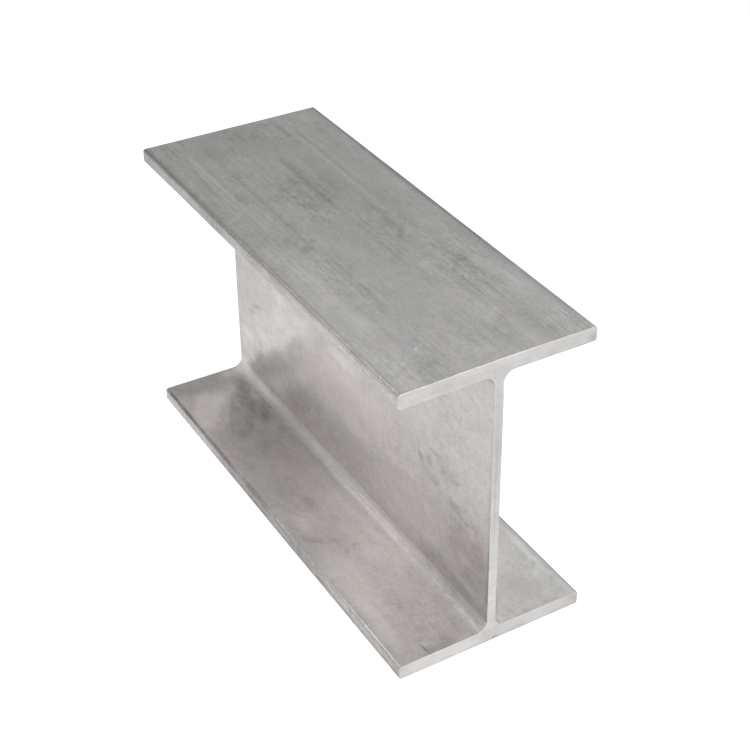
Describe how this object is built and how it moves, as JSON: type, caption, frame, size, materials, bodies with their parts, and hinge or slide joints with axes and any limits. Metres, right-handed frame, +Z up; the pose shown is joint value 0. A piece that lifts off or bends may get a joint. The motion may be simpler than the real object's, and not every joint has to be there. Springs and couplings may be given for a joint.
{
  "type": "steel h-beam",
  "caption": "Short sawn length of hot-rolled steel H-beam with parallel flanges, filleted roots and rounded flange edges, for use as a bearer, stub post, support or welding stock.",
  "frame": {"origin": "on the ground under the middle of the beam: mid-length and under the web", "axes": "+X along the beam, +Y across the flanges, +Z up from the lower flange to the upper one"},
  "size_m": [0.345, 0.134, 0.21],
  "materials": {
    "rolled_steel": "pickled hot-rolled steel, matt grey, with faint lengthwise streaks, smudges and paler sawn ends"
  },
  "bodies": {
    "root": {"h_beam": "rolled_steel"}
  },
  "joints": []
}
